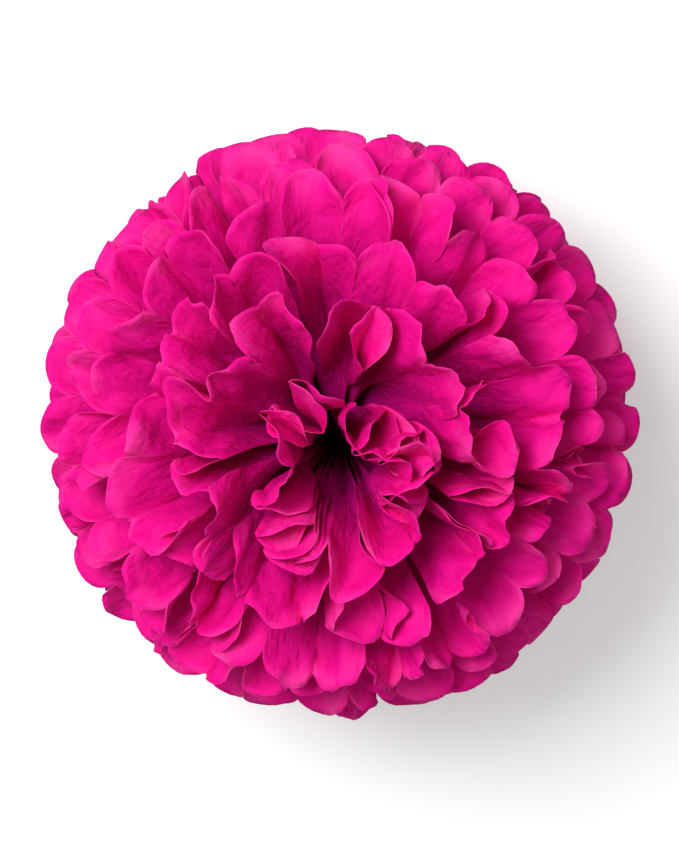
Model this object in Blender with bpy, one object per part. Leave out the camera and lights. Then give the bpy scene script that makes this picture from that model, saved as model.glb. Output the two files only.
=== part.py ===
"""Tissue paper pom pom.

Twelve sheets of tissue are pleated together into one strip, the ends of the strip are cut
round, and a soft wire gathers its middle. Each half of the strip then opens into a fan of half a
turn, and the sheets are pulled apart, from the top pole of the ball down to the bottom one.
Some pleats open wide and others stay bunched, and the sheets keep the same pleats open.
The ball lies on a table with its pole up, on the tips of its lowest sheet, which lie flat there.

Lengths are in metres, angles in radians unless a name says degrees. Points are worked out round
the middle of the waist, and an empty lifts them all so that the table is at height 0.
"""

import functools
import math
import random

import bmesh
import bpy
from mathutils import Vector

# Driving dimensions of the paper
SHEET_COUNT = 12
PLEAT_COUNT = 17
PLEAT_WIDTH = 0.0254
STRIP_LENGTH = 0.254
TIP_ROUNDING = 0.010
PAPER_THICKNESS = 0.0003

# Driving dimensions of the gathered waist and its tie
WAIST_RADIUS = 0.004
WIRE_DIAMETER = 0.0009
TWIST_LENGTH = 0.012
TWIST_TURNS = 1.25

# Clearances: between the stacked sheets, between them where they turn upwards, between the flanks
# of their pleats near the waist and further out, from a fold to the ball's axis, round the wire,
# beside its twisted ends, and between the two fans at the rim
STACK_CLEARANCE = 0.0006
TURNING_CLEARANCE = 0.0004
INNER_NEST_CLEARANCE = 0.0019
OUTER_NEST_CLEARANCE = 0.0007
AXIS_CLEARANCE = 0.0035
WIRE_CLEARANCE = 0.00035
TWIST_CLEARANCE = 0.0007
RIM_SLIT = 0.0014

# How far the sheets are pulled apart, as angles from the top pole
TOP_SHEET_DEGREES = 10.0
BOTTOM_SHEET_DEGREES = 156.0
CROWDING_AT_TOP = 1.15

# How far the ball settles on the table, from the strip's half length down, and how far it is turned
# round its upright axis
SETTLING = 0.020
TURN_DEGREES = 25.0

# Where a fold line bends: distance from its foot, and distance from its outer end
INNER_BEND = 0.026
OUTER_BEND_FROM_END = 0.029

# A fold keeps the paper's thickness on its flanks down to this cosine of their slope
SHARPEST_FOLD = 0.35

# Azimuths of the pleats that opened widest, in degrees, how wide a group each makes, how much
# sooner they opened than the others, and how uneven that is
OPEN_AZIMUTHS = (345, 15, 50, 125, 160, 197, 225, 275, 310)
OPEN_GROUP_DEGREES = 7.0
OPEN_LEAD = 9.0
OPEN_SCATTER = 0.5

# Pulls of the hands that open the ball, each a smooth shift of what lies round one direction:
# azimuth and angle from the pole, azimuth and angle from the pole that it is pulled towards, in
# degrees, then its spread and its size as shares of the ball's radius
PULLS = (
    (100, 35, 125, 90, 0.50, 0.10),
    (355, 40, 315, 90, 0.45, 0.12),
    (225, 30, 245, 100, 0.40, 0.08),
)
LOOSE_PULLS = 40
LOOSE_SPREAD = 0.42
LOOSE_SIZE = 0.10

# Uneven depth of the folds, as a share, and the seed of all that is uneven
DEPTH_SCATTER = 0.14
RANDOM_SEED = 11

# Colours and finishes
TISSUE_COLOUR = (0.83, 0.0, 0.20, 1.0)
TISSUE_ROUGHNESS = 0.75
WIRE_COLOUR = (0.62, 0.62, 0.60, 1.0)
WIRE_ROUGHNESS = 0.35
WIRE_METALLIC = 1.0

HALF_LENGTH = STRIP_LENGTH / 2
CUSP_REACH = HALF_LENGTH - WAIST_RADIUS - TIP_ROUNDING
OUTER_BEND = CUSP_REACH - OUTER_BEND_FROM_END
STACK_PITCH = PAPER_THICKNESS + STACK_CLEARANCE
STACK_HEIGHT = (SHEET_COUNT - 1) * STACK_PITCH + PAPER_THICKNESS
TWIST_HALF_WIDTH = WIRE_DIAMETER + WIRE_CLEARANCE / 2
WAIST_SLIT = 2 * (TWIST_HALF_WIDTH + TWIST_CLEARANCE)
TABLE_LEVEL = SETTLING - HALF_LENGTH
PLEAT_ANGLE = math.pi / PLEAT_COUNT
RIM_SHARES = (0.15, 0.5, 0.85)
SHALLOWEST_SHARE = 0.25
OPENING_TRIALS = 40
WIDEST_OPENING = 50.0


# Shape of the ball


def smooth(share):
    """0 to 1 with a gentle start and end."""
    share = min(1.0, max(0.0, share))
    return share * share * (3 - 2 * share)


def direction(azimuth, down):
    """Unit vector at an azimuth and an angle from the top pole."""
    level = math.sin(down)
    return Vector((level * math.cos(azimuth), level * math.sin(azimuth), math.cos(down)))


def from_pole(sheet):
    """Angle of a sheet from the top pole."""
    share = (sheet / (SHEET_COUNT - 1)) ** CROWDING_AT_TOP
    return math.radians(TOP_SHEET_DEGREES + share * (BOTTOM_SHEET_DEGREES - TOP_SHEET_DEGREES))


def angle_to_neighbour(sheet):
    """Smallest angle between a sheet and the sheets beside it."""
    near = [from_pole(other) for other in (sheet - 1, sheet + 1) if 0 <= other < SHEET_COUNT]
    return min(abs(angle - from_pole(sheet)) for angle in near)


def pull_list(source):
    """Every pull as the direction it is centred on, its shift as a vector, and its spread."""
    pulls = []
    for azimuth, down, to_azimuth, to_down, spread, size in PULLS:
        centre = direction(math.radians(azimuth), math.radians(down))
        shift = direction(math.radians(to_azimuth), math.radians(to_down)) * size
        pulls.append((centre, shift, spread))
    for _pull in range(LOOSE_PULLS):
        centre = direction(source.uniform(0, 2 * math.pi), math.acos(source.uniform(-1, 1)))
        shift = direction(source.uniform(0, 2 * math.pi), math.acos(source.uniform(-1, 1))) * LOOSE_SIZE
        pulls.append((centre, shift, LOOSE_SPREAD))
    return pulls


def eagerness(source):
    """How readily each pleat of each half opens. The sheets share it, as they were folded together."""
    halves = []
    for half in range(2):
        pleats = []
        for pleat in range(PLEAT_COUNT):
            azimuth = math.degrees((pleat + 0.5 - PLEAT_COUNT / 2) * PLEAT_ANGLE) + 180 * half
            lead = 0.0
            for centre in OPEN_AZIMUTHS:
                away = (azimuth - centre + 180) % 360 - 180
                lead += OPEN_LEAD * math.exp(-((away / OPEN_GROUP_DEGREES) ** 2))
            pleats.append((1 + lead) * math.exp(source.uniform(-1, 1) * OPEN_SCATTER))
        halves.append(pleats)
    return halves


def depth_scatter(source):
    """Uneven depth at each fold of each half, the same for all sheets."""
    return [[source.uniform(-1, 1) * DEPTH_SCATTER for _fold in range(PLEAT_COUNT + 1)] for _half in range(2)]


SOURCE = random.Random(RANDOM_SEED)
EAGERNESS = eagerness(SOURCE)
UNEVEN_DEPTH = depth_scatter(SOURCE)
ALL_PULLS = pull_list(SOURCE)


# Pleats


def open_strength(reach):
    """How far the opening of the pleats and the pulls on them have taken hold, at a reach from the feet."""
    return smooth((reach - INNER_BEND) / (CUSP_REACH - INNER_BEND))


@functools.cache
def opened_shares(half, around):
    """Shares of the half turn that its pleats take, at a distance from the ball's axis.

    The eager pleats open first, up to the paper's width, and the others when there is more room.
    """
    room = math.pi * around
    least, most = 0.0, WIDEST_OPENING
    for _trial in range(OPENING_TRIALS):
        opening = (least + most) / 2
        widths = [PLEAT_WIDTH * (1 - math.exp(-opening * eager)) for eager in EAGERNESS[half]]
        if sum(widths) < room:
            least = opening
        else:
            most = opening
    return [width / sum(widths) for width in widths]


def pleat_shares(half, around, strength):
    """The same shares, between even ones where the strength is 0 and opened ones where it is 1."""
    even = 1 / PLEAT_COUNT
    return [even + (share - even) * strength for share in opened_shares(half, around)]


@functools.cache
def fold_swings(sheet, half, reach):
    """Angle by which each fold stands off its sheet, at a reach from its foot.

    The paper's width sets a pleat's depth where it has room. Nearer the waist, the neighbouring
    sheets and the folds on the other side of the ball's axis set it.
    """
    around = WAIST_RADIUS + reach * math.sin(from_pole(sheet))
    between_sheets = STACK_PITCH + reach * angle_to_neighbour(sheet)
    clearance = INNER_NEST_CLEARANCE if reach <= INNER_BEND else OUTER_NEST_CLEARANCE
    steepest = math.tan(math.acos(min(1.0, (PAPER_THICKNESS + clearance) / between_sheets)))
    strength = open_strength(reach)
    depths = []
    for share in pleat_shares(half, around, strength):
        pitch = share * math.pi * around
        by_paper = math.sqrt(max(PLEAT_WIDTH**2 - pitch**2, (PLEAT_WIDTH * SHALLOWEST_SHARE) ** 2))
        depths.append(max(0.0, min(by_paper, pitch * steepest, 2 * (around - AXIS_CLEARANCE))))
    beside = [depths[0], *depths, depths[-1]]
    swings = []
    for fold, uneven in enumerate(UNEVEN_DEPTH[half]):
        side = 1 if (fold + half) % 2 else -1
        half_depth = (beside[fold] + beside[fold + 1]) / 4
        swings.append(side * half_depth * (1 + uneven * strength) / reach)
    return swings


# Points of a sheet


def waist_level(sheet):
    """Height of a sheet's lower face where it lies in the gathered stack, the top sheet highest."""
    return ((SHEET_COUNT - 1) / 2 - sheet) * STACK_PITCH - PAPER_THICKNESS / 2


def turning_room(sheet):
    """How much nearer the axis the next steeper sheet turns, to keep its distance from this one."""
    down = from_pole(sheet)
    distance = PAPER_THICKNESS + TURNING_CLEARANCE - STACK_PITCH * math.sin(down)
    return max(0.0, distance) / max(abs(math.cos(down)), SHARPEST_FOLD)


def foot_radius(sheet):
    """Distance from the axis to a sheet's feet. A sheet that stands steeper turns nearer the axis."""
    flattest = min(range(SHEET_COUNT), key=lambda other: abs(math.cos(from_pole(other))))
    beside = range(sheet + 1, flattest + 1) if sheet < flattest else range(flattest, sheet)
    return WAIST_RADIUS - sum(turning_room(other) for other in beside)


def pulled(beyond, strength):
    """A direction from the waist after the pulls."""
    moved = beyond.copy()
    for centre, shift, spread in ALL_PULLS:
        moved += shift * math.exp(-(beyond - centre).length_squared / spread**2) * strength
    return moved.normalized()


def on_table(foot, beyond, reach):
    """The point at a reach along a direction. What would sink into the table lies on it, bent outwards."""
    out = foot + beyond * reach
    if out.z < TABLE_LEVEL:
        before = (TABLE_LEVEL - foot.z) / beyond.z
        level = Vector((beyond.x, beyond.y, 0)).normalized()
        out = foot + beyond * before + level * (reach - before)
        out.z = TABLE_LEVEL
    return out


def fold_point(sheet, half, fold, reach):
    """A point on a fold line, reach metres of paper from its foot at the waist."""
    strength = open_strength(reach)
    start = (half - 0.5) * math.pi
    foot = direction(start + fold * PLEAT_ANGLE, math.pi / 2) * foot_radius(sheet)
    foot.x += (WAIST_SLIT + (RIM_SLIT - WAIST_SLIT) * strength) / 2 * (1 - 2 * half)
    foot.z = waist_level(sheet)
    if reach == 0:
        return foot
    down = from_pole(sheet) + fold_swings(sheet, half, reach)[fold]
    around = WAIST_RADIUS + reach * math.sin(down)
    azimuth = start + math.pi * sum(pleat_shares(half, around, strength)[:fold])
    return on_table(foot, pulled(direction(azimuth, down), strength), reach)


def rim_point(sheet, half, pleat, share):
    """A point on the rounded end of a pleat, between the fold lines on its two sides."""
    reach = CUSP_REACH + TIP_ROUNDING * math.sqrt(1 - (2 * share - 1) ** 2)
    near = fold_point(sheet, half, pleat, reach)
    far = fold_point(sheet, half, pleat + 1, reach)
    return near.lerp(far, share)


# Tissue sheets


def add_pleat(surface, near, far, rim, rising):
    """One pleat between two fold lines, with its rounded end."""
    for level in range(len(near) - 1):
        near_in, near_out = near[level : level + 2]
        far_in, far_out = far[level : level + 2]
        if rising:
            surface.faces.new((near_in, near_out, far_in))
            surface.faces.new((near_out, far_out, far_in))
        else:
            surface.faces.new((near_in, near_out, far_out))
            surface.faces.new((near_in, far_out, far_in))
    surface.faces.new((near[-1], rim[0], rim[1]))
    surface.faces.new((near[-1], rim[1], far[-1]))
    surface.faces.new((rim[1], rim[2], far[-1]))


def add_waist(surface, feet):
    """The flat middle of a sheet, between the feet of its two fans."""
    here, there = feet[0], feet[1][::-1]
    for pleat in range(PLEAT_COUNT):
        surface.faces.new((here[pleat], here[pleat + 1], there[pleat + 1]))
        surface.faces.new((here[pleat], there[pleat + 1], there[pleat]))


def face_upwards(surface, waist_vert):
    """Turns the surface so that its waist faces up."""
    bmesh.ops.recalc_face_normals(surface, faces=surface.faces[:])
    surface.normal_update()
    if waist_vert.normal.z < 0:
        bmesh.ops.reverse_faces(surface, faces=surface.faces[:])
        surface.normal_update()


def even_out_thickness(surface, feet, fullness):
    """Weights that let the paper keep its thickness on the flanks of a fold, and at the feet lie thin."""
    at_waist = {foot for side in feet for foot in side}
    for vert in surface.verts:
        flank = min(vert.normal.dot(face.normal) for face in vert.link_faces)
        slope = 1.0 if vert in at_waist else max(flank, SHARPEST_FOLD)
        vert[fullness][0] = SHARPEST_FOLD / slope


def sheet_surface(sheet):
    """The lower face of a pleated sheet as a bmesh: a flat waist, and a fan on each side of it."""
    surface = bmesh.new()
    fullness = surface.verts.layers.deform.verify()
    levels = (0.0, INNER_BEND, OUTER_BEND, CUSP_REACH)
    feet = []
    for half in range(2):
        lines = []
        for fold in range(PLEAT_COUNT + 1):
            lines.append([surface.verts.new(fold_point(sheet, half, fold, reach)) for reach in levels])
        feet.append([line[0] for line in lines])
        for pleat in range(PLEAT_COUNT):
            rim = [surface.verts.new(rim_point(sheet, half, pleat, share)) for share in RIM_SHARES]
            add_pleat(surface, lines[pleat], lines[pleat + 1], rim, (pleat + half) % 2)
    add_waist(surface, feet)
    face_upwards(surface, feet[0][PLEAT_COUNT // 2])
    even_out_thickness(surface, feet, fullness)
    return surface


def tissue_sheet(sheet, finish):
    """One pleated sheet of tissue as an object, its paper's thickness above its lower face."""
    surface = sheet_surface(sheet)
    mesh = bpy.data.meshes.new(f"tissue_sheet_{sheet + 1:02d}")
    surface.to_mesh(mesh)
    surface.free()
    mesh.materials.append(finish)
    made = bpy.data.objects.new(mesh.name, mesh)
    bpy.context.scene.collection.objects.link(made)
    made.vertex_groups.new(name="fullness")
    paper = made.modifiers.new("paper thickness", "SOLIDIFY")
    paper.thickness = PAPER_THICKNESS / SHARPEST_FOLD
    paper.vertex_group = "fullness"
    paper.offset = 1
    return made


# Tie wire


def tie_route():
    """The wire's centre line: in along the twist, once round the waist, and out along the twist."""
    side = WAIST_RADIUS + WIRE_CLEARANCE + WIRE_DIAMETER / 2
    top = STACK_HEIGHT / 2 + WIRE_CLEARANCE + WIRE_DIAMETER / 2
    corner = WIRE_DIAMETER / 2
    strand = TWIST_HALF_WIDTH - WIRE_DIAMETER / 2
    neck = side + WIRE_DIAMETER * 1.5
    steps = round(TWIST_TURNS * 4)
    twist = []
    for step in range(steps + 1):
        angle = math.pi / 2 + 2 * math.pi * TWIST_TURNS * step / steps
        along = neck + TWIST_LENGTH * step / steps
        twist.append((strand * math.cos(angle), along, strand * math.sin(angle)))
    loop = [
        (0, side, top - corner),
        (0, side - corner, top),
        (0, corner - side, top),
        (0, -side, top - corner),
        (0, -side, corner - top),
        (0, corner - side, -top),
        (0, side - corner, -top),
        (0, side, corner - top),
    ]
    back = [(-x, y, -z) for x, y, z in twist]
    return twist[::-1] + loop + back


def tie_wire(finish):
    """The soft wire round the waist, its two ends twisted together."""
    line = bpy.data.curves.new("tie_wire", "CURVE")
    line.dimensions = "3D"
    line.bevel_depth = WIRE_DIAMETER / 2
    line.bevel_resolution = 1
    line.use_fill_caps = True
    route = tie_route()
    spline = line.splines.new("POLY")
    spline.points.add(len(route) - 1)
    for point, place in zip(spline.points, route):
        point.co = (*place, 1)
    line.materials.append(finish)
    made = bpy.data.objects.new("tie_wire", line)
    bpy.context.scene.collection.objects.link(made)
    return made


# The whole ball


def material(name, colour, roughness, metallic=0.0):
    """A plain finish."""
    made = bpy.data.materials.new(name)
    made.use_nodes = True
    shader = made.node_tree.nodes["Principled BSDF"]
    shader.inputs["Base Color"].default_value = colour
    shader.inputs["Roughness"].default_value = roughness
    shader.inputs["Metallic"].default_value = metallic
    made.diffuse_color = colour
    return made


def main():
    for old in list(bpy.data.objects):
        bpy.data.objects.remove(old)
    tissue = material("tissue", TISSUE_COLOUR, TISSUE_ROUGHNESS)
    wire = material("wire", WIRE_COLOUR, WIRE_ROUGHNESS, WIRE_METALLIC)
    base = bpy.data.objects.new("table_contact", None)
    base.location.z = -TABLE_LEVEL
    base.rotation_euler.z = math.radians(TURN_DEGREES)
    bpy.context.scene.collection.objects.link(base)
    pieces = [tissue_sheet(sheet, tissue) for sheet in range(SHEET_COUNT)]
    pieces.append(tie_wire(wire))
    for piece in pieces:
        piece.parent = base


main()
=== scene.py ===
# %% [markdown]
# # A tissue paper pom pom
# The real thing is a stack of tissue sheets, folded to and fro into one strip. The strip's ends are
# cut round, a soft wire gathers its middle, and each half is opened into a fan of half a turn. Then
# the sheets are pulled apart one by one, from the top pole of the ball down to the bottom one.
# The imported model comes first. It fixes every size and place, and the paper is laid over it.

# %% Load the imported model
import math
import random

import bpy
import numpy as np
from mathutils import Matrix, Vector


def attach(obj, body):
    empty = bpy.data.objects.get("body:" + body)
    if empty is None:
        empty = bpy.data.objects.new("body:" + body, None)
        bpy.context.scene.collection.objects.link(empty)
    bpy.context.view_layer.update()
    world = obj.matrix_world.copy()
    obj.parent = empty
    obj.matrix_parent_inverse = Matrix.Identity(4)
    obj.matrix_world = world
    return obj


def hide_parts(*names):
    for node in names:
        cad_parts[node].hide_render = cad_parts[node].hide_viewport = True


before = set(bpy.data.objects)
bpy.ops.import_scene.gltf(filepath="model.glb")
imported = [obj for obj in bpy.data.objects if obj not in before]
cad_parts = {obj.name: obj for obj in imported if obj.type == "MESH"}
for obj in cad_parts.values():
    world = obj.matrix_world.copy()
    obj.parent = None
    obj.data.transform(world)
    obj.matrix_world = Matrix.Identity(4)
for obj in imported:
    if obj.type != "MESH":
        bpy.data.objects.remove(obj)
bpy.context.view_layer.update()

for thing in bpy.context.selected_objects:
    thing.select_set(False)
print("nodes:", ", ".join(sorted(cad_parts)))

# %% [markdown]
# ## Sizes
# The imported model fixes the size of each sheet, of the waist and of the wire, in metres, and the hands
# that open the ball start from the same places. Only the last three values are new. Real tissue is so
# thin that its edge is a hairline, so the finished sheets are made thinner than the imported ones.

# %% Sizes of the paper and of the ball
SHEET_COUNT = 12
PLEAT_COUNT = 17
PLEAT_WIDTH = 0.0254
STRIP_LENGTH = 0.254
TIP_ROUNDING = 0.010
PAPER_THICKNESS = 0.0003
WAIST_RADIUS = 0.004
WIRE_DIAMETER = 0.0009
TWIST_LENGTH = 0.012
TWIST_TURNS = 1.25

STACK_CLEARANCE = 0.0006
TURNING_CLEARANCE = 0.0004
INNER_NEST_CLEARANCE = 0.0019
OUTER_NEST_CLEARANCE = 0.0007
AXIS_CLEARANCE = 0.0035
WIRE_CLEARANCE = 0.00035
TWIST_CLEARANCE = 0.0007
RIM_SLIT = 0.0014

TOP_SHEET_DEGREES = 10.0
BOTTOM_SHEET_DEGREES = 156.0
CROWDING_AT_TOP = 1.15
SETTLING = 0.020
TURN_DEGREES = 25.0
INNER_BEND = 0.026
SHARPEST_FOLD = 0.35

OPEN_AZIMUTHS = (345, 15, 50, 125, 160, 197, 225, 275, 310)
OPEN_GROUP_DEGREES = 7.0
OPEN_LEAD = 9.0
OPEN_SCATTER = 0.5
PULLS = (
    (100, 35, 125, 90, 0.50, 0.10),
    (355, 40, 315, 90, 0.45, 0.12),
    (225, 30, 245, 100, 0.40, 0.08),
)
LOOSE_PULLS = 40
LOOSE_SPREAD = 0.42
LOOSE_SIZE = 0.10
DEPTH_SCATTER = 0.14
RANDOM_SEED = 11

HALF_LENGTH = STRIP_LENGTH / 2
CUSP_REACH = HALF_LENGTH - WAIST_RADIUS - TIP_ROUNDING
STACK_PITCH = PAPER_THICKNESS + STACK_CLEARANCE
STACK_HEIGHT = (SHEET_COUNT - 1) * STACK_PITCH + PAPER_THICKNESS
TWIST_HALF_WIDTH = WIRE_DIAMETER + WIRE_CLEARANCE / 2
WAIST_SLIT = 2 * (TWIST_HALF_WIDTH + TWIST_CLEARANCE)
TABLE_LEVEL = SETTLING - HALF_LENGTH
SHALLOWEST_SHARE = 0.25
OPENING_TRIALS = 40
WIDEST_OPENING = 50.0

THIN_PAPER = 0.00015
STEPS_PER_PLEAT = 14
ROWS = 34
print(f"ball of {2000 * HALF_LENGTH:.0f} mm, {SHEET_COUNT} sheets of {2 * PLEAT_COUNT} pleats")

# %% [markdown]
# ## How the ball opens
# On a real ball the folds start in order at the waist. Hands then open some pleats wide, leave others
# bunched, and pull whole groups to one side. It could be sculpted by hand, fold by fold, but a few
# rules do it evenly for 408 pleats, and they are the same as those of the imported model. Here they work
# on arrays of points, so that a fold line is followed in small steps.

# %% Two helpers for soft curves and for directions
def smooth(share):
    share = np.clip(share, 0.0, 1.0)
    return share * share * (3 - 2 * share)


def direction(azimuth, down):
    azimuth, down = np.broadcast_arrays(azimuth, down)
    return np.stack([np.sin(down) * np.cos(azimuth), np.sin(down) * np.sin(azimuth), np.cos(down)], axis=-1)


print("half way down the ball, towards +X:", direction(0.0, math.pi / 2).round(3))

# %% Which pleats the hands open, and where they pull
def eagerness(source):
    halves = []
    for half in range(2):
        pleats = []
        for pleat in range(PLEAT_COUNT):
            azimuth = math.degrees((pleat + 0.5 - PLEAT_COUNT / 2) * math.pi / PLEAT_COUNT) + 180 * half
            away = [(azimuth - centre + 180) % 360 - 180 for centre in OPEN_AZIMUTHS]
            lead = OPEN_LEAD * sum(math.exp(-((angle / OPEN_GROUP_DEGREES) ** 2)) for angle in away)
            pleats.append((1 + lead) * math.exp(source.uniform(-1, 1) * OPEN_SCATTER))
        halves.append(pleats)
    return np.array(halves)


def pull_list(source):
    pulls = []
    for azimuth, down, to_azimuth, to_down, spread, size in PULLS:
        centre = direction(math.radians(azimuth), math.radians(down))
        pulls.append((centre, direction(math.radians(to_azimuth), math.radians(to_down)) * size, spread))
    for _pull in range(LOOSE_PULLS):
        centre = direction(source.uniform(0, 2 * math.pi), math.acos(source.uniform(-1, 1)))
        shift = direction(source.uniform(0, 2 * math.pi), math.acos(source.uniform(-1, 1))) * LOOSE_SIZE
        pulls.append((centre, shift, LOOSE_SPREAD))
    return pulls


hands = random.Random(RANDOM_SEED)
EAGERNESS = eagerness(hands)
UNEVEN_DEPTH = np.array(
    [[hands.uniform(-1, 1) * DEPTH_SCATTER for _fold in range(PLEAT_COUNT + 1)] for _half in range(2)]
)
ALL_PULLS = pull_list(hands)
print("pulls:", len(ALL_PULLS))

# %% [markdown]
# ## Feet of the sheets
# Each sheet leaves the waist at its own angle from the pole, the top one nearly upright and the lowest
# one nearly straight down. Where many sheets turn off side by side, their feet move in step by step, so
# that the paper of one never runs through the next.

# %% Angles of the sheets and places of their feet
def from_pole(sheet):
    share = (sheet / (SHEET_COUNT - 1)) ** CROWDING_AT_TOP
    return math.radians(TOP_SHEET_DEGREES + share * (BOTTOM_SHEET_DEGREES - TOP_SHEET_DEGREES))


def angle_to_neighbour(sheet):
    near = [from_pole(other) for other in (sheet - 1, sheet + 1) if 0 <= other < SHEET_COUNT]
    return min(abs(angle - from_pole(sheet)) for angle in near)


def waist_level(sheet):
    return ((SHEET_COUNT - 1) / 2 - sheet) * STACK_PITCH - PAPER_THICKNESS / 2


def turning_room(sheet):
    down = from_pole(sheet)
    distance = PAPER_THICKNESS + TURNING_CLEARANCE - STACK_PITCH * math.sin(down)
    return max(0.0, distance) / max(abs(math.cos(down)), SHARPEST_FOLD)


def foot_radius(sheet):
    flattest = min(range(SHEET_COUNT), key=lambda other: abs(math.cos(from_pole(other))))
    beside = range(sheet + 1, flattest + 1) if sheet < flattest else range(flattest, sheet)
    return WAIST_RADIUS - sum(turning_room(other) for other in beside)


print("sheets at", [round(math.degrees(from_pole(sheet))) for sheet in range(SHEET_COUNT)], "degrees")

# %% [markdown]
# ## Fold lines
# A pleat keeps its width of paper. Where it opens, it gets flatter, and where it stays bunched it is
# deep. The share of the half turn that each pleat gets can't be written down as a formula, so it is
# found by halving a range again and again until the pleats just fill the room.

# %% How wide each pleat opens
def open_strength(reach):
    return smooth((reach - INNER_BEND) / (CUSP_REACH - INNER_BEND))


def opened_shares(half, around):
    """Shares of the half turn that each pleat takes at each distance from the axis, pleats first."""
    eager = EAGERNESS[half].reshape(-1, *[1] * around.ndim)
    least, most = np.zeros(around.shape), np.full(around.shape, WIDEST_OPENING)
    for _trial in range(OPENING_TRIALS):
        opening = (least + most) / 2
        widths = PLEAT_WIDTH * (1 - np.exp(-opening * eager))
        room_left = widths.sum(axis=0) < math.pi * around
        least, most = np.where(room_left, opening, least), np.where(room_left, most, opening)
    return widths / widths.sum(axis=0)


def pleat_shares(half, around, strength):
    even = 1 / PLEAT_COUNT
    return even + (opened_shares(half, around) - even) * strength


print("shares at the rim:", np.round(pleat_shares(0, np.array([HALF_LENGTH]), 1.0)[:, 0], 3))

# %% Where the fold lines run
def fold_lines(sheet, half, reach):
    """Azimuth, angle from the pole and openness of a fan's fold lines, each an array of folds by reaches."""
    tilt, strength = from_pole(sheet), open_strength(reach)
    around = WAIST_RADIUS + reach * math.sin(tilt)
    pitch = pleat_shares(half, around, strength) * math.pi * around
    nest = INNER_NEST_CLEARANCE + (OUTER_NEST_CLEARANCE - INNER_NEST_CLEARANCE) * smooth((reach - INNER_BEND) / 0.03)
    between_sheets = STACK_PITCH + reach * angle_to_neighbour(sheet)
    steepest = np.tan(np.arccos(np.minimum(1.0, (PAPER_THICKNESS + nest) / between_sheets)))
    by_paper = np.sqrt(np.maximum(PLEAT_WIDTH**2 - pitch**2, (PLEAT_WIDTH * SHALLOWEST_SHARE) ** 2))
    depth = np.maximum(0.0, np.minimum(np.minimum(by_paper, pitch * steepest), 2 * (around - AXIS_CLEARANCE)))
    beside = np.concatenate([depth[:1], depth, depth[-1:]])
    side = np.array([1 if (fold + half) % 2 else -1 for fold in range(PLEAT_COUNT + 1)])[:, None]
    uneven = 1 + UNEVEN_DEPTH[half][:, None] * strength
    down = tilt + side * (beside[:-1] + beside[1:]) / 4 * uneven / np.maximum(reach, 0.001)
    around = WAIST_RADIUS + reach * np.sin(down)
    taken = np.cumsum(pleat_shares(half, around, strength), axis=0)
    taken = np.concatenate([np.zeros((1, *around.shape)), taken])
    folds = np.arange(PLEAT_COUNT + 1)
    azimuth = (half - 0.5) * math.pi + math.pi * taken[folds, folds]
    return azimuth, down, pitch / PLEAT_WIDTH


print("rim pitch of sheet 1, in mm:", np.round(1000 * PLEAT_WIDTH * fold_lines(0, 0, np.array([CUSP_REACH]))[2][:, 0]))

# %% [markdown]
# ## Faces at the rim
# Seen from outside, a rim is a chain of stiff faces, each as wide as a pleat. A face may run along the
# rim as a broad petal, slant over it, or stand across it, packed in a bunch. A plain zigzag would give
# a star of even spokes, which no real pom pom shows. So each rim gets a mix of the three kinds: as many
# broad and slanting faces as its length around the ball has room for, and bunches in between.

# %% Three kinds of face
RIM_REACH = CUSP_REACH + TIP_ROUNDING / 2
BUNCHED, ALONG, SLANTING = 0, 1, 2
STEPS_ALONG = {BUNCHED: 0.12, ALONG: 0.94, SLANTING: 0.72}
TOP_RIM_DEGREES = 16.0
BOTTOM_RIM_DEGREES = 150.0
RIM_CROWDING = 0.94
MOST_SLANTING = 7
hands_on_rims = random.Random(9)


def rim_angle(sheet):
    """Angle from the pole where a sheet's rim lies once the hands have spread the sheets."""
    share = (sheet / (SHEET_COUNT - 1)) ** RIM_CROWDING
    return math.radians(TOP_RIM_DEGREES + (BOTTOM_RIM_DEGREES - TOP_RIM_DEGREES) * share)


def face_kinds(sheet):
    """The kinds of a fan's faces, in order. A new face goes where there are fewest open ones."""
    length = math.pi * RIM_REACH * math.sin(rim_angle(sheet)) / PLEAT_WIDTH
    slanting = round(1 + MOST_SLANTING * math.sin(rim_angle(sheet)) ** 2)
    along = length - slanting * STEPS_ALONG[SLANTING] - (PLEAT_COUNT - slanting) * STEPS_ALONG[BUNCHED]
    along = min(max(round(along / (STEPS_ALONG[ALONG] - STEPS_ALONG[BUNCHED])), 1), PLEAT_COUNT - slanting)
    kinds = [BUNCHED] * (PLEAT_COUNT - along - slanting)
    for kind in [ALONG] * along + [SLANTING] * slanting:
        tries = [hands_on_rims.randrange(0, len(kinds) + 1) for _try in range(4)]
        crowded = [sum(kinds[max(0, place - 2) : place + 2]) for place in tries]
        kinds.insert(tries[crowded.index(min(crowded))], kind)
    return kinds


print("rims at", [round(math.degrees(rim_angle(sheet))) for sheet in range(SHEET_COUNT)], "degrees from the pole")

# %% The folds at the rim, before they settle
KINDS = {}
EDGE_OUT = 0.45
FOLD_OUT = (0.25, 0.55)
UNEVEN_STEP = 0.03
FAN_SHARE = 0.985
FAN_START = 0.0075


def unit(vectors):
    return vectors / np.maximum(np.linalg.norm(vectors, axis=-1, keepdims=True), 1e-9)


def pulled(beyond, strength=1.0):
    """Directions after every pull of the hands."""
    moved = beyond.copy()
    for centre, shift, spread in ALL_PULLS:
        moved += shift * np.exp(-((beyond - centre) ** 2).sum(axis=-1) / spread**2)[..., None] * strength
    return unit(moved)


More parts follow.
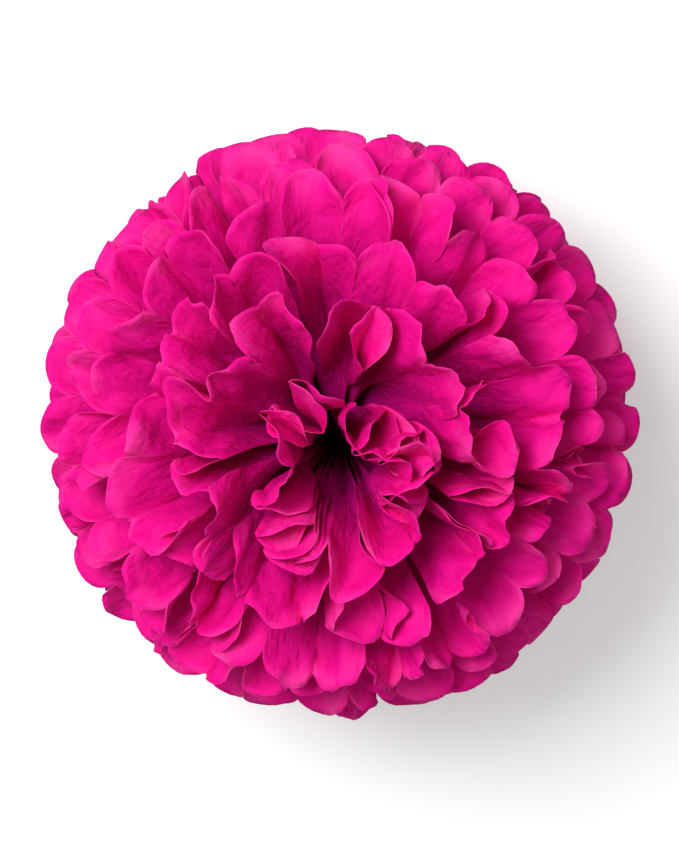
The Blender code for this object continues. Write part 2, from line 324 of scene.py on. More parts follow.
def first_folds(sheet, half):
    """Where the folds of one fan reach the rim. Only a broad face keeps to its side of the rim."""
    side, along, out = hands_on_rims.choice((-1, 1)), [0.0], [0.0]
    out[0] = side * PLEAT_WIDTH * EDGE_OUT
    KINDS[sheet, half] = face_kinds(sheet)
    for kind in KINDS[sheet, half]:
        side = side if kind == ALONG else -side
        along.append(along[-1] + STEPS_ALONG[kind] + hands_on_rims.uniform(-UNEVEN_STEP, UNEVEN_STEP))
        out.append(side * PLEAT_WIDTH * hands_on_rims.uniform(*FOLD_OUT))
    along, out = np.array(along) / along[-1], np.array(out)
    azimuth = (half - 0.5) * math.pi + math.pi * (along * FAN_SHARE + FAN_START)
    return pulled(direction(azimuth, rim_angle(sheet) + out / RIM_REACH)) * RIM_REACH


folds = np.array([first_folds(sheet, half) for sheet in range(SHEET_COUNT) for half in range(2)])
print("folds at the rim:", folds.shape, "kinds of the top fan:", KINDS[0, 0])

# %% [markdown]
# ## Petals that settle
# On a real ball nobody places the petals. They are stiff, they can't pass through one another, and
# they shove each other into place while hands turn and spread them. Cloth simulation could be asked
# for that, but 24 fans of folded paper packed this close would tangle in it. So only the rims settle:
# each is a chain of stiff links on a sphere, and the inner paper follows it later.

# %% Points along the faces, and how much room each takes
ROOM = 0.0175
OWN_ROOM = 0.0035
FACE_POINTS = (np.arange(5) + 0.5) / 5
CHAIN_COUNT, FOLD_COUNT = folds.shape[:2]
CHAIN = np.repeat(np.arange(CHAIN_COUNT), PLEAT_COUNT * len(FACE_POINTS))
FACE = np.tile(np.repeat(np.arange(PLEAT_COUNT), len(FACE_POINTS)), CHAIN_COUNT)
SHARE = np.tile(FACE_POINTS, CHAIN_COUNT * PLEAT_COUNT)
FOLD = CHAIN * FOLD_COUNT + FACE


def face_points(flat):
    return flat[FOLD] * (1 - SHARE)[:, None] + flat[FOLD + 1] * SHARE[:, None]


def close_pairs(points):
    """Pairs of points that may touch, and the room that each pair wants. A face and its neighbour don't shove."""
    pairs = []
    for first in range(0, len(points), 400):
        apart = ((points[first : first + 400, None] - points[None]) ** 2).sum(axis=-1)
        a, b = np.nonzero(apart < (ROOM * 1.4) ** 2)
        a = a + first
        keep = (a < b) & ((CHAIN[a] != CHAIN[b]) | (np.abs(FACE[a] - FACE[b]) > 1))
        pairs.append(np.stack([a[keep], b[keep]]))
    a, b = np.concatenate(pairs, axis=1)
    return a, b, np.where(CHAIN[a] == CHAIN[b], OWN_ROOM, ROOM)


print("pairs that may touch:", len(close_pairs(face_points(folds.reshape(-1, 3)))[0]))

# %% Petals shove each other
SHOVE = 0.0012
FURTHEST_SHOVE = 0.0010


def shove(flat, a, b, room):
    """Move the folds so that faces that are too close get apart, a little at a time."""
    points = face_points(flat)
    between = points[a] - points[b]
    apart = np.maximum(np.linalg.norm(between, axis=1), 1e-6)
    push = between / apart[:, None] * (np.maximum(0.0, 1 - apart / room) * SHOVE)[:, None]
    move = np.zeros_like(flat)
    for index, sign in ((a, 1), (b, -1)):
        for end, weight in ((0, 1 - SHARE), (1, SHARE)):
            for axis in range(3):
                move[:, axis] += sign * np.bincount(FOLD[index] + end, push[:, axis] * weight[index], len(flat))
    size = np.linalg.norm(move, axis=1, keepdims=True)
    flat += move * np.minimum(1.0, FURTHEST_SHOVE / np.maximum(size, 1e-9))


tried = folds.reshape(-1, 3).copy()
shove(tried, *close_pairs(face_points(tried)))
print("first shove, in mm:", round(1000 * float(np.linalg.norm(tried - folds.reshape(-1, 3), axis=1).mean()), 2))

# %% Hands turn small groups and gather the top
STIR_STEPS = 180
STIRS = 90
STIR_SPREAD = 0.24
STIR_DEGREES = 70.0
STIRRED_HEIGHTS = (-0.6, 0.85)
GATHER_SPREAD = 0.40
GATHER_STEP = 0.00012


def stir_list(source):
    """Turns that hands give to small groups of petals: an axis out of the ball and an angle."""
    stirs = []
    for _stir in range(STIRS):
        axis = direction(source.uniform(0, 2 * math.pi), math.acos(source.uniform(*STIRRED_HEIGHTS)))
        stirs.append((axis, math.radians(source.uniform(-1, 1) * STIR_DEGREES)))
    return stirs


ALL_STIRS = stir_list(random.Random(7))


def stir(flat):
    turn = np.zeros_like(flat)
    for axis, angle in ALL_STIRS:
        near = np.exp(-((flat / RIM_REACH - axis) ** 2).sum(axis=1) / STIR_SPREAD**2)
        turn += np.cross(axis, flat) * (near * angle / STIR_STEPS)[:, None]
    flat += turn


def gather(flat):
    near = np.exp(-(flat[:, :2] ** 2).sum(axis=1) / (RIM_REACH * GATHER_SPREAD) ** 2) * (flat[:, 2] > 0)
    flat[:, :2] -= unit(flat[:, :2]) * (near * GATHER_STEP)[:, None]


print("turns by hand:", len(ALL_STIRS))

# %% The paper holds together
EDGE_GAP = 0.002
STIFF_WIDTH = PLEAT_WIDTH * 0.985
CRUSHING = 0.3
FOLD_MEMORY = 0.03


def hold_widths(folds):
    """A face is never wider than its paper, and it gets narrower only with some force."""
    for start in (0, 1):
        one, two = folds[:, start:-1:2], folds[:, start + 1 :: 2]
        number = min(one.shape[1], two.shape[1])
        one, two = one[:, :number], two[:, :number]
        gap = two - one
        long = np.linalg.norm(gap, axis=-1, keepdims=True)
        fix = gap * (1 - STIFF_WIDTH / np.maximum(long, 1e-9)) / 2
        fix *= np.where(long > STIFF_WIDTH, 1.0, CRUSHING)
        one += fix
        two -= fix


def hold_folds(folds, beside):
    """Every fold weakly keeps the angle that it was left at."""
    gap = folds[:, 2:] - folds[:, :-2]
    long = np.linalg.norm(gap, axis=-1)
    fix = gap * ((1 - beside / np.maximum(long, 1e-9)) * FOLD_MEMORY)[..., None]
    folds[:, :-2] += fix
    folds[:, 2:] -= fix


def hold_edges(folds):
    """The two fans of a sheet meet at their edges, as the hands leave them."""
    for one, two in ((folds[0::2, 0], folds[1::2, -1]), (folds[0::2, -1], folds[1::2, 0])):
        gap = two - one
        long = np.linalg.norm(gap, axis=-1, keepdims=True)
        fix = gap * np.maximum(0.0, 1 - EDGE_GAP / np.maximum(long, 1e-9)) / 2
        one += fix
        two -= fix


print("width that a face keeps, in mm:", round(1000 * STIFF_WIDTH, 1))

# %% Let them settle
SETTLING_STEPS = 260
STEPS_BETWEEN_SEARCHES = 6
PASSES = 8
HOLE_ANGLE = math.radians(6.0)


def keep_on_ball(flat):
    """Rims stay on their sphere, and clear of the small hole at its pole."""
    flat *= RIM_REACH / np.linalg.norm(flat, axis=1, keepdims=True)
    level = np.linalg.norm(flat[:, :2], axis=1)
    inside = (level < RIM_REACH * math.sin(HOLE_ANGLE)) & (flat[:, 2] > 0)
    flat[inside, :2] *= (RIM_REACH * math.sin(HOLE_ANGLE) / np.maximum(level[inside], 1e-6))[:, None]


def settle(folds):
    flat = folds.reshape(-1, 3)
    beside = np.linalg.norm(folds[:, 2:] - folds[:, :-2], axis=-1)
    for step in range(SETTLING_STEPS):
        if step % STEPS_BETWEEN_SEARCHES == 0:
            touching = close_pairs(face_points(flat))
        shove(flat, *touching)
        if step < STIR_STEPS:
            stir(flat)
        for _pass in range(PASSES):
            hold_widths(folds)
            hold_folds(folds, beside)
            hold_edges(folds)
        gather(flat)
        keep_on_ball(flat)


unsettled = folds.copy()
settle(folds)
print(f"folds moved {1000 * np.linalg.norm(folds - unsettled, axis=-1).mean():.0f} mm on average")
print("face widths in mm:", np.round(1000 * np.linalg.norm(np.diff(folds[0], axis=0), axis=-1)))

# %% [markdown]
# ## From the waist to the rim
# Each sheet is a grid of columns and rows. A column runs out along the paper from the waist. Near the
# waist it keeps to the folding rules, and on its way out it turns towards the place where its petal
# settled. The ends of each face are cut round, so a column in its middle is longer than one at a fold.

# %% Columns and rows of a fan
LEVELS = np.linspace(0.0, CUSP_REACH + TIP_ROUNDING, 60)
across = (1 - np.cos(np.pi * np.arange(STEPS_PER_PLEAT) / STEPS_PER_PLEAT)) / 2
COLUMN_PLEAT = np.append(np.repeat(np.arange(PLEAT_COUNT), STEPS_PER_PLEAT), PLEAT_COUNT - 1)
COLUMN_SHARE = np.append(np.tile(across, PLEAT_COUNT), 1.0)
COLUMN_REACH = CUSP_REACH + TIP_ROUNDING * np.sqrt(1 - (2 * COLUMN_SHARE - 1) ** 2)
ROWS_TOWARDS_RIM = 0.85
ROW_SHARE = (np.arange(ROWS) / (ROWS - 1)) ** ROWS_TOWARDS_RIM


def between_folds(values, share=COLUMN_SHARE):
    """Values at the folds, spread over the columns between them."""
    share = share.reshape(-1, *[1] * (values.ndim - 1))
    return values[COLUMN_PLEAT] * (1 - share) + values[COLUMN_PLEAT + 1] * share


print("columns in a fan:", len(COLUMN_SHARE), "rows:", ROWS)

# %% Directions of the columns
BOW = np.array([0.0022, 0.0016])
SLACK_PAPER = PLEAT_WIDTH * 1.01
MOST_SLACK = 0.006
TURN_START = 0.018
TURN_LENGTH = 0.070


def rim_directions(ends, luck):
    """Directions at the rim. Each petal is a little bowed between its folds, more where it has slack."""
    near, far = ends[COLUMN_PLEAT], ends[COLUMN_PLEAT + 1]
    share = COLUMN_SHARE[:, None]
    straight = between_folds(ends)
    aside = unit(np.cross(far - near, straight))
    width = np.linalg.norm(far - near, axis=-1, keepdims=True)
    slack = np.sqrt(np.maximum(SLACK_PAPER**2 - width**2, 0.0)) * 0.61
    bow = luck.uniform(-1, 1, (PLEAT_COUNT, 2))[COLUMN_PLEAT] * BOW
    bow[:, 0] += np.sign(bow[:, 0]) * np.minimum(slack[:, 0], MOST_SLACK) * 0.6
    return unit(straight + aside * (bow[:, :1] * np.sin(np.pi * share) + bow[:, 1:] * np.sin(2 * np.pi * share)))


def pleats_out(sheet, half, luck):
    """Directions of a fan's columns at every level: as folded near the waist, and as settled at the rim."""
    azimuth, down, _openness = fold_lines(sheet, half, LEVELS)
    ends = pulled(direction(azimuth, down), open_strength(LEVELS)[None, :, None])
    rim = rim_directions(folds[2 * sheet + half], luck)[:, None]
    turned = smooth((LEVELS - TURN_START) / TURN_LENGTH)[None, :, None]
    return unit(between_folds(ends) * (1 - turned) + rim * turned)


print("directions of a fan:", pleats_out(6, 0, np.random.default_rng(0)).shape)

# %% [markdown]
# ## Curled tips and sunk folds
# Tissue is soft at its free end. Many petals curl over there, mostly away from the pole, because the
# hands spread them from the top down. Inside a bunch the hands can't reach, so its folds stay lower
# than the petals beside them, and so does one fold in four of the others. That gives the ball its
# deep dark clefts and the notches in its outline.

# %% Curl the tips over
CURL_LENGTH = 0.040
SLIGHT_CURL = (-0.001, 0.003)
FULL_CURL = (0.004, 0.012)
CURLED_SHARE = 0.5


def curls(ends, luck):
    near, far = ends[:-1], ends[1:]
    outward = unit(np.cross(far - near, near + far))
    outward *= np.where(outward[:, 2:] > 0, -1.0, 1.0)
    amount = luck.uniform(*SLIGHT_CURL, PLEAT_COUNT)
    amount += np.where(luck.uniform(0, 1, PLEAT_COUNT) < CURLED_SHARE, luck.uniform(*FULL_CURL, PLEAT_COUNT), 0.0)
    curled = outward * amount[:, None]
    at_folds = np.zeros((PLEAT_COUNT + 1, 3))
    at_folds[1:-1] = (curled[:-1] + curled[1:]) * 0.25
    lean = curled[COLUMN_PLEAT] * np.sin(np.pi * COLUMN_SHARE[:, None]) ** 0.8 + between_folds(at_folds)
    over = np.clip((LEVELS - (CUSP_REACH + TIP_ROUNDING - CURL_LENGTH)) / CURL_LENGTH, 0, 1)[None, :, None] ** 2
    shorter = (lean**2).sum(axis=-1)[:, None, None] / CURL_LENGTH * 0.6
    return lean[:, None] * over - unit(between_folds(ends))[:, None] * shorter * over


tried = curls(folds[12], np.random.default_rng(0))
print("furthest curl, in mm:", round(1000 * float(np.linalg.norm(tried, axis=-1).max()), 1))

# %% Sink the folds of bunches
DEEPEST_BUNCH = 0.14
INSIDE_BUNCH = (0.15, 1.0)
OPEN_FOLDS = (0.0, 0.05, 0.1, 0.55)


def sunk(sheet, half, luck):
    """How much lower the folds inside a bunch stay than those that the hands could reach."""
    kinds, low = KINDS[sheet, half], np.zeros(PLEAT_COUNT + 1)
    for fold in range(1, PLEAT_COUNT):
        if kinds[fold - 1] == BUNCHED == kinds[fold]:
            low[fold] = luck.uniform(*INSIDE_BUNCH) * DEEPEST_BUNCH * (1 - 0.5 * sheet / SHEET_COUNT)
        else:
            low[fold] = luck.choice(OPEN_FOLDS) * luck.uniform(0.7, 1.3) * DEEPEST_BUNCH
    return between_folds(low, smooth(COLUMN_SHARE))


print("deepest fold of the top fan, as a share:", round(float(sunk(0, 0, np.random.default_rng(0)).max()), 3))

# %% [markdown]
# ## Wrinkles
# Handling leaves soft dents in the thin paper, long ones along the pleat and small ones near the rim.
# A bump map alone would leave the rim a clean line, so the dents are real: many waves of different
# lengths and directions are added up, and the points move along the paper's own normal.

# %% Dent the paper
WRINKLE_DEPTH = 0.0021
WRINKLES_START = CUSP_REACH - 0.045
WRINKLES_GROW = 0.055
WAVE_SIZE = 0.6 / math.sqrt(7)
WAVES = ((14, (0.009, 0.034), (0.022, 0.080), 1.0), (8, (0.004, 0.009), (0.014, 0.040), 0.22))


def waves(luck):
    """The dents at every column and level, from long waves and short ones."""
    across, reach = ((COLUMN_PLEAT + COLUMN_SHARE) * PLEAT_WIDTH)[:, None], LEVELS[None, :]
    dent = np.zeros((len(COLUMN_SHARE), len(LEVELS)))
    for count, widths, lengths, size in WAVES:
        for _wave in range(count):
            along = 2 * math.pi / luck.uniform(*widths) * luck.choice((-1, 1))
            outward = 2 * math.pi / luck.uniform(*lengths)
            dent += size * np.sin(across * along + reach * outward + luck.uniform(0, 2 * math.pi))
    return dent


def wrinkles(points, kinds, luck):
    """Shifts of a fan's points. Paper inside a bunch has less room to bend."""
    bunched = np.array([kind == BUNCHED for kind in kinds], dtype=float)
    tight = between_folds(np.concatenate([[0.0], np.minimum(bunched[:-1], bunched[1:]), [0.0]]))
    aside = unit(np.cross(np.gradient(points, axis=0), np.gradient(points, axis=1)))
    fade = smooth((LEVELS - WRINKLES_START) / WRINKLES_GROW)[None, :]
    dent = waves(luck) * WRINKLE_DEPTH * WAVE_SIZE * (1 - 0.6 * tight)[:, None]
    return aside * (dent * fade)[..., None]


typical = float(waves(np.random.default_rng(0)).std()) * WRINKLE_DEPTH * WAVE_SIZE
print("typical dent, in mm:", round(1000 * typical, 2))

# %% [markdown]
# ## One sheet of tissue
# A sheet is one grid, from the round ends of one fan through the waist to the round ends of the other.
# It is added as a flat grid, and every vertex then moves to where the rules above put it, because no
# modelling tool could fold it so by hand. Solidify gives it the thickness of paper at the end.

# %% The points of one fan
SLIT_CLOSED = 0.016
TABLE_SPREAD = 0.45


def on_table(points):
    """What would sink into the table lies on it, and spreads outwards."""
    low = points[..., 2] < TABLE_LEVEL
    out = points.copy()
    out[..., :2] += np.where(low, (TABLE_LEVEL - points[..., 2]) * TABLE_SPREAD, 0.0)[..., None] * unit(points[..., :2])
    out[..., 2] = np.where(low, TABLE_LEVEL, points[..., 2])
    return out


def fan_points(sheet, half):
    """Points of one fan, columns by rows from the foot out to the rim."""
    luck = np.random.default_rng([RANDOM_SEED, sheet, half])
    start = (half - 0.5) * math.pi + (COLUMN_PLEAT + COLUMN_SHARE) * math.pi / PLEAT_COUNT
    foot = direction(start, math.pi / 2)[:, None] * foot_radius(sheet) * np.ones((1, len(LEVELS), 1))
    foot[..., 0] += (WAIST_SLIT + (RIM_SLIT - WAIST_SLIT) * smooth(LEVELS / SLIT_CLOSED)) / 2 * (1 - 2 * half)
    foot[..., 2] = waist_level(sheet)
    out = pleats_out(sheet, half, luck)
    points = foot + out * (LEVELS[None, :] * (1 - sunk(sheet, half, luck)[:, None]))[..., None]
    points += curls(folds[2 * sheet + half], luck) + wrinkles(points, KINDS[sheet, half], luck)
    rows = []
    for column, reach in enumerate(COLUMN_REACH):
        rows.append([np.interp(ROW_SHARE * reach, LEVELS, points[column, :, axis]) for axis in range(3)])
    return np.array(rows).transpose(0, 2, 1)


print("fan points:", fan_points(6, 0).shape)

# %% [markdown]
# ## A map of the flat sheet
# The finish should follow the paper, so each sheet carries a map of itself as it was before it was
# folded. Two attributes tell how far a point is from the cut rim and from the nearest fold. The sheets
# take their places half a metre apart on the map, so that no two of them show the same clouds.

# %% Write the map
PAPER_MAP_SCALE = 10.0


def paper_places():
    """Where each grid point lies on the flat sheet: across the pleats, in from the rim, and from a fold."""
    across = np.repeat((COLUMN_PLEAT + COLUMN_SHARE)[:, None] * PLEAT_WIDTH, ROWS, axis=1)
    in_from_rim = COLUMN_REACH[:, None] * (1 - ROW_SHARE[None, :])
    from_fold = np.repeat(np.minimum(COLUMN_SHARE, 1 - COLUMN_SHARE)[:, None] * PLEAT_WIDTH, ROWS, axis=1)
    return across, in_from_rim, from_fold


def both_fans(first, second):
    return np.concatenate([first[:, ::-1], second[::-1]], axis=1)


def write_paper_map(mesh, sheet):
    across, in_from_rim, from_fold = paper_places()
    across = both_fans(across + sheet, across + sheet + 0.5)
    in_from_rim, from_fold = both_fans(in_from_rim, in_from_rim), both_fans(from_fold, from_fold)
    for name, values in (("from_rim", in_from_rim), ("from_fold", from_fold)):
        held = mesh.attributes.new(name, "FLOAT", "POINT")
        held.data.foreach_set("value", values.T.reshape(-1).astype(np.float32))
    corners = np.empty(len(mesh.loops), dtype=np.int32)
    mesh.loops.foreach_get("vertex_index", corners)
    flat = np.stack([across.T.reshape(-1), in_from_rim.T.reshape(-1)], axis=1) * PAPER_MAP_SCALE
    mesh.uv_layers[0].data.foreach_set("uv", flat[corners].reshape(-1).astype(np.float32))
    mesh.uv_layers[0].name = "paper"


print("flat sheet across, in mm:", round(1000 * float(paper_places()[0].max())))

# %% Lay a grid on the two fans of each sheet
UP_TO_TABLE = Matrix.Translation((0, 0, -TABLE_LEVEL)) @ Matrix.Rotation(math.radians(TURN_DEGREES), 4, "Z")


def tissue_sheet(sheet):
    bpy.ops.mesh.primitive_grid_add(x_subdivisions=len(COLUMN_SHARE) - 1, y_subdivisions=2 * ROWS - 1, size=1)
    made = bpy.context.active_object
    made.name = made.data.name = f"tissue_{sheet + 1:02d}"
    points = on_table(both_fans(fan_points(sheet, 0), fan_points(sheet, 1)))
    made.data.vertices.foreach_set("co", points.transpose(1, 0, 2).reshape(-1).astype(np.float32))
    made.data.transform(UP_TO_TABLE)
    write_paper_map(made.data, sheet)
    made.data.update()
    made.data.shade_smooth()
    thin = made.modifiers.new("thin", "SOLIDIFY")
    thin.thickness = THIN_PAPER
    thin.offset = 0
    bpy.ops.object.modifier_apply(modifier="thin")
    made.select_set(False)
    return made


sheets = [tissue_sheet(sheet) for sheet in range(SHEET_COUNT)]
print("faces per sheet:", len(sheets[0].data.polygons))

# %% [markdown]
# ## The sheets take the imported ones' places
# Each finished sheet stands for one packed sheet, which is hidden and still serves for collisions.
# Paper has no joints at its folds, so everything rides on the one body, called root.

# %% Ride and replace
for number, piece in enumerate(sheets):
    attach(piece, "root")
    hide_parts(f"tissue_sheet_{number + 1:02d}")
print("sheets placed:", len(sheets))

# %% [markdown]
# ## The tie wire
# A soft wire goes once round the middle of the strip, and its two ends are twisted together. It can
# be drawn as a curve with a round bevel. The curve is a line of straight bits through close points,
# shaded smooth. Then it is made a mesh, as everything else is.

# %% The way that the wire goes
def wire_route():
    side = WAIST_RADIUS + WIRE_CLEARANCE + WIRE_DIAMETER / 2
    top = STACK_HEIGHT / 2 + WIRE_CLEARANCE + WIRE_DIAMETER / 2
    corner = WIRE_DIAMETER / 2
    strand = TWIST_HALF_WIDTH - WIRE_DIAMETER / 2
    neck = side + WIRE_DIAMETER * 1.5
    twist = []
    for share in np.linspace(0, 1, 21):
        angle = math.pi / 2 + 2 * math.pi * TWIST_TURNS * share
        twist.append((strand * math.cos(angle), neck + TWIST_LENGTH * share, strand * math.sin(angle)))
    loop = [
        (0, side, top - corner),
        (0, side - corner, top),
        (0, corner - side, top),
        (0, -side, top - corner),
        (0, -side, corner - top),
        (0, corner - side, -top),
        (0, side - corner, -top),
        (0, side, corner - top),
    ]
    return twist[::-1] + loop + [(-x, y, -z) for x, y, z in twist]


route = wire_route()
print("points of the way:", len(route))

# %% Draw the wire
bpy.ops.curve.primitive_nurbs_path_add(radius=1)
wire = bpy.context.active_object
wire.name = wire.data.name = "tied_wire"
wire.data.splines.clear()
spline = wire.data.splines.new("POLY")
spline.points.add(len(route) - 1)
for point, place in zip(spline.points, route):
    point.co = (*place, 1)
wire.data.bevel_depth = WIRE_DIAMETER / 2
wire.data.bevel_resolution = 4
wire.data.use_fill_caps = True
bpy.ops.object.convert(target="MESH")
wire.data.transform(UP_TO_TABLE)
wire.data.shade_smooth()
wire.select_set(False)
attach(wire, "root")
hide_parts("tie_wire")
print("wire points:", len(wire.data.vertices))

# %% [markdown]
# ## Tools for the finishes
# Paper and wire both have uneven patches, large ones in the dye and small ones on the steel. They
# could be drawn as pictures, but noise never repeats and needs no file. Both materials use the same
# effect, so it is a node group with its own inputs, built once and set differently in each.

# %% A node group for uneven patches
patches = bpy.data.node_groups.new("uneven_patches", "ShaderNodeTree")
for name in ("Place", "Stretch"):
    patches.interface.new_socket(name, in_out="INPUT", socket_type="NodeSocketVector")
for name in ("Scale", "Detail", "Low", "High"):
    patches.interface.new_socket(name, in_out="INPUT", socket_type="NodeSocketFloat")
patches.interface.new_socket("Share", in_out="OUTPUT", socket_type="NodeSocketFloat")
inside, wires = patches.nodes, patches.links
given, result = inside.new("NodeGroupInput"), inside.new("NodeGroupOutput")
stretch, cloud, spread = (inside.new(f"ShaderNode{kind}") for kind in ("Mapping", "TexNoise", "MapRange"))
for source, target in (
    (given.outputs["Place"], stretch.inputs["Vector"]),
    (given.outputs["Stretch"], stretch.inputs["Scale"]),
    (stretch.outputs["Vector"], cloud.inputs["Vector"]),
    (given.outputs["Scale"], cloud.inputs["Scale"]),
    (given.outputs["Detail"], cloud.inputs["Detail"]),
    (cloud.outputs["Fac"], spread.inputs["Value"]),
    (given.outputs["Low"], spread.inputs["From Min"]),
    (given.outputs["High"], spread.inputs["From Max"]),
    (spread.outputs["Result"], result.inputs["Share"]),
):
    wires.new(source, target)
print("inputs:", [socket.name for socket in given.outputs if socket.name])

# %% Helpers for nodes
def new_material(name):
    made = bpy.data.materials.new(name)
    made.use_nodes = True
    return made, made.node_tree.nodes, made.node_tree.links, made.node_tree.nodes["Principled BSDF"]


def uneven(nodes, links, place, scale, detail, stretch=(1, 1, 1), low=0.0, high=1.0):
    """Place the group, with this material's own values."""
    made = nodes.new("ShaderNodeGroup")
    made.node_tree = patches
    for name, value in (("Stretch", stretch), ("Scale", scale), ("Detail", detail), ("Low", low), ("High", high)):
        made.inputs[name].default_value = value
    links.new(place, made.inputs["Place"])
    return made.outputs["Share"]


def mapped(nodes, links, value, low, high, to_low, to_high):
    made = nodes.new("ShaderNodeMapRange")
    for name, limit in (("From Min", low), ("From Max", high), ("To Min", to_low), ("To Max", to_high)):
        made.inputs[name].default_value = limit
    links.new(value, made.inputs["Value"])
    return made.outputs["Result"]


def fill(links, source, socket):
    if isinstance(source, bpy.types.NodeSocket):
        links.new(source, socket)
    else:
        socket.default_value = source


def mixed(nodes, links, share, first, second):
    made = nodes.new("ShaderNodeMix")
    made.data_type = "RGBA"
    for source, number in ((share, 0), (first, 6), (second, 7)):
        fill(links, source, made.inputs[number])
    return made.outputs[2]


def joined(nodes, links, first, second, operation="MULTIPLY"):
    made = nodes.new("ShaderNodeMath")
    made.operation = operation
    fill(links, first, made.inputs[0])
    fill(links, second, made.inputs[1])
    return made.outputs[0]


print("node group:", patches.name)

# %% [markdown]
# ## Tissue paper
# Dyed tissue is matt. The dye lies in soft clouds and along the fibres. The tips get painted light, as
# if light came through them, and the colour gets painted shade further into the ball, darker there. The
# pattern follows the sheet's own map, so that fibres and creases run along the pleats on every petal.

# %% The sheet's own map and its patches
tissue, nodes, links, shader = new_material("tissue")
paper = nodes.new("ShaderNodeUVMap")
paper.uv_map = "paper"
flat_place = paper.outputs["UV"]
rim = nodes.new("ShaderNodeAttribute")
rim.attribute_name = "from_rim"
fold = nodes.new("ShaderNodeAttribute")
fold.attribute_name = "from_fold"
clouds = uneven(nodes, links, flat_place, 5.0, 3.0, low=0.3, high=0.7)
fibres = uneven(nodes, links, flat_place, 120.0, 2.0, (1.0, 0.22, 1.0), 0.35, 0.7)
print("material:", tissue.name)

# %% [markdown]
# ## Colour of the tissue
# The colour is mixed in steps, from the whole sheet to its details: dye clouds, fibres, worn folds, a
# painted highlight on the cut edge, painted light at the tips, and painted shade further in. Each step
# mixes one more colour in by a mask.

# %% Dye, fibres, worn folds, painted highlights and painted shade
dye_and_painted_light = mixed(nodes, links, clouds, (0.73, 0.0, 0.222, 1), (0.82, 0.001, 0.268, 1))
dye_and_painted_light = mixed(nodes, links, mapped(nodes, links, fibres, 0.0, 1.0, 0.0, 0.16), dye_and_painted_light, (0.90, 0.02, 0.36, 1))
worn = joined(
    nodes, links, mapped(nodes, links, fold.outputs["Fac"], 0.0, 0.0007, 0.35, 0.0),
    mapped(nodes, links, rim.outputs["Fac"], 0.0, 0.05, 1.0, 0.3),
)
dye_and_painted_light = mixed(nodes, links, worn, dye_and_painted_light, (0.90, 0.03, 0.36, 1))
# Painted highlight: a pale line along the cut rim, where the edge would catch light.
painted_edge_highlight = joined(
    nodes, links, mapped(nodes, links, rim.outputs["Fac"], 0.0, 0.0008, 1.0, 0.0),
    mapped(nodes, links, clouds, 0.30, 0.95, 0.0, 0.50),
)
dye_and_painted_light = mixed(nodes, links, painted_edge_highlight, dye_and_painted_light, (0.98, 0.11, 0.45, 1))
# Painted light: the tips are lighter, as if light came through the thin paper.
painted_tip_light = joined(
    nodes, links, mapped(nodes, links, rim.outputs["Fac"], 0.001, 0.014, 1.0, 0.0),
    mapped(nodes, links, clouds, 0.45, 0.95, 0.0, 0.50),
)
dye_and_painted_light = mixed(nodes, links, painted_tip_light, dye_and_painted_light, (0.94, 0.07, 0.36, 1))
# Painted shade: the colour gets darker further in from the rim, where light fades inside the ball.
painted_inner_shade = mapped(nodes, links, rim.outputs["Fac"], 0.004, 0.042, 0.0, 0.80)
dye_and_painted_light = mixed(nodes, links, painted_inner_shade, dye_and_painted_light, (0.52, 0.0, 0.195, 1))
# Painted shade: darkest deep inside, towards the waist.
painted_deep_shade = mapped(nodes, links, rim.outputs["Fac"], 0.048, 0.108, 0.0, 0.85)
dye_and_painted_light = mixed(nodes, links, painted_deep_shade, dye_and_painted_light, (0.18, 0.0, 0.11, 1))
# The base colour is the dye with its painted highlights and painted shade.
links.new(dye_and_painted_light, shader.inputs["Base Color"])
print("colours mixed:", sum(node.type == "MIX" for node in nodes))

# %% [markdown]
# ## Surface of the tissue
# The paper is crisp: it creases along sharp little ridges where it was handled, with soft folds along
# the pleat and a fine crackle. A ridge is where noise crosses its middle value, so the distance from
# that value makes the crease. The heights are added for one Bump node. Larger dents are in the mesh.

# %% Creases, crackle and gloss
soft = uneven(nodes, links, flat_place, 16.0, 2.0, (1.0, 0.30, 1.0))
fine = uneven(nodes, links, flat_place, 55.0, 3.0, (1.0, 0.45, 1.0))
bump = nodes.new("ShaderNodeBump")
bump.inputs["Strength"].default_value = 0.75
bump.inputs["Distance"].default_value = 0.0014
height = joined(nodes, links, soft, joined(nodes, links, fine, 0.28), "ADD")
for scale, share in ((9.0, 2.6), (23.0, 1.2)):
    ridges = uneven(nodes, links, flat_place, scale, 1.5, (1.0, 0.6, 1.0))
    ridges = joined(nodes, links, joined(nodes, links, ridges, 0.5, "SUBTRACT"), 0.0, "ABSOLUTE")
    height = joined(nodes, links, height, joined(nodes, links, ridges, share), "ADD")
links.new(height, bump.inputs["Height"])
links.new(bump.outputs["Normal"], shader.inputs["Normal"])
links.new(mapped(nodes, links, fibres, 0.0, 1.0, 0.64, 0.78), shader.inputs["Roughness"])
shader.inputs["Specular IOR Level"].default_value = 0.12
for piece in sheets:
    piece.data.materials.append(tissue)
print("nodes of the tissue:", len(nodes))

# %% [markdown]
# ## Bare wire
# Soft binding wire is bare steel. It is dull, with a few darker spots, so its colour and roughness
# vary and it isn't a mirror.

# %% Wire material
steel, nodes, links, shader = new_material("wire")
place = nodes.new("ShaderNodeTexCoord")
spots = uneven(nodes, links, place.outputs["Object"], 900.0, 3.0, low=0.35, high=0.65)
colour = mixed(nodes, links, spots, (0.30, 0.29, 0.28, 1), (0.52, 0.51, 0.50, 1))
links.new(colour, shader.inputs["Base Color"])
links.new(mapped(nodes, links, spots, 0.0, 1.0, 0.60, 0.44), shader.inputs["Roughness"])
shader.inputs["Metallic"].default_value = 1.0
wire.data.materials.append(steel)
print("material:", steel.name)

# %% [markdown]
# ## A white table
# The ball lies on a white table that fades into the background. A brighter lamp would bleach the
# paper, so the table itself is painted brighter, for the camera and for mirrors alone. Near the ball
# it glows less, so that the ball's shadow shows.

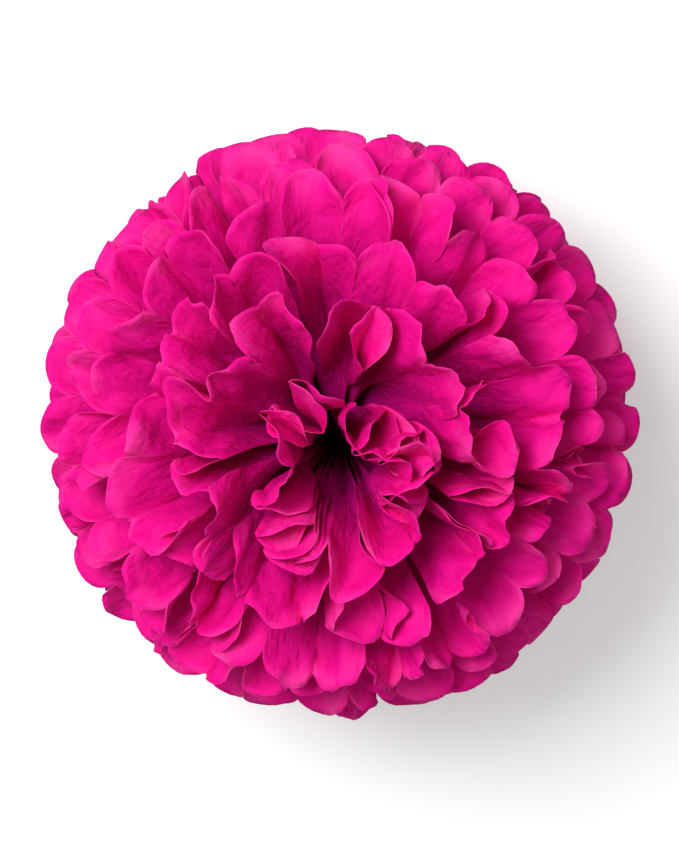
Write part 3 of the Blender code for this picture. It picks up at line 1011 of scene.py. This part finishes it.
# %% Table
bpy.ops.mesh.primitive_plane_add(size=12, location=(0, 0, -0.0001))
table = bpy.context.active_object
table.name = "table"
white, nodes, links, shader = new_material("table_white")
path = nodes.new("ShaderNodeLightPath")
seen = joined(nodes, links, path.outputs["Is Camera Ray"], path.outputs["Is Glossy Ray"], "MAXIMUM")
seen = joined(nodes, links, seen, path.outputs["Is Transmission Ray"], "MAXIMUM")
links.new(mixed(nodes, links, seen, (0.75, 0.75, 0.75, 1), (0.93, 0.93, 0.93, 1)), shader.inputs["Base Color"])
spot = nodes.new("ShaderNodeTexCoord")
away = nodes.new("ShaderNodeVectorMath")
away.operation = "LENGTH"
links.new(spot.outputs["Object"], away.inputs[0])
far = mapped(nodes, links, away.outputs["Value"], 0.25, 1.1, 0.0, 1.0)
glow = mixed(nodes, links, far, (0.24, 0.24, 0.24, 1), (0.62, 0.62, 0.62, 1))
links.new(mixed(nodes, links, seen, (0, 0, 0, 1), glow), shader.inputs["Emission Color"])
shader.inputs["Emission Strength"].default_value = 1.0
shader.inputs["Roughness"].default_value = 0.9
shader.inputs["Specular IOR Level"].default_value = 0.2
table.data.materials.append(white)
print("table:", table.dimensions.x, "m wide")

# %% [markdown]
# ## Light
# The photo's light is soft and comes from the upper left. One large lamp gives it, and a white room
# fills the shade, so a colour renders about as it is written.

# %% Room and lamp
world = bpy.data.worlds.new("room")
bpy.context.scene.world = world
world.use_nodes = True
nodes, links = world.node_tree.nodes, world.node_tree.links
path = nodes.new("ShaderNodeLightPath")
background = nodes["Background"]
background.inputs["Color"].default_value = (1, 1, 1, 1)
seen = joined(nodes, links, path.outputs["Is Camera Ray"], path.outputs["Is Glossy Ray"], "MAXIMUM")
links.new(mapped(nodes, links, seen, 0, 1, 0.43, 1.0), background.inputs["Strength"])
lamp_place = Vector((-0.55, 0.65, 1.45))
bpy.ops.object.light_add(type="AREA", location=lamp_place)
lamp = bpy.context.active_object
lamp.name = "key"
lamp.data.size = 0.7
lamp.data.energy = 24
lamp.rotation_mode = "QUATERNION"
lamp.rotation_quaternion = (Vector((0, 0, 0.1)) - lamp_place).to_track_quat("-Z", "Y")
print("lamp:", lamp.data.energy, "W")

# %% [markdown]
# ## Camera
# The photo looks almost straight at the pole, which lies a little below the middle of the ball. So the
# camera stands above the ball, leans a few degrees towards +Y, and looks back at its middle.

# %% Camera
CAMERA_LEAN = math.radians(13.0)
CAMERA_DISTANCE = 1.25
middle = Vector((0, 0, 0.117))
back = Vector((0, math.sin(CAMERA_LEAN), math.cos(CAMERA_LEAN)))
up = Vector((0, math.cos(CAMERA_LEAN), -math.sin(CAMERA_LEAN)))
right = up.cross(back)
view = bpy.data.cameras.new("view")
camera = bpy.data.objects.new("view", view)
bpy.context.scene.collection.objects.link(camera)
turned = Matrix((right, up, back)).transposed().to_4x4()
camera.matrix_world = Matrix.Translation(middle + back * CAMERA_DISTANCE) @ turned
view.sensor_fit = "HORIZONTAL"
view.sensor_width = 36
view.lens = 36 * CAMERA_DISTANCE / 0.285
bpy.context.scene.camera = camera
bpy.context.scene.view_settings.view_transform = "Standard"
print("lens:", round(view.lens), "mm")
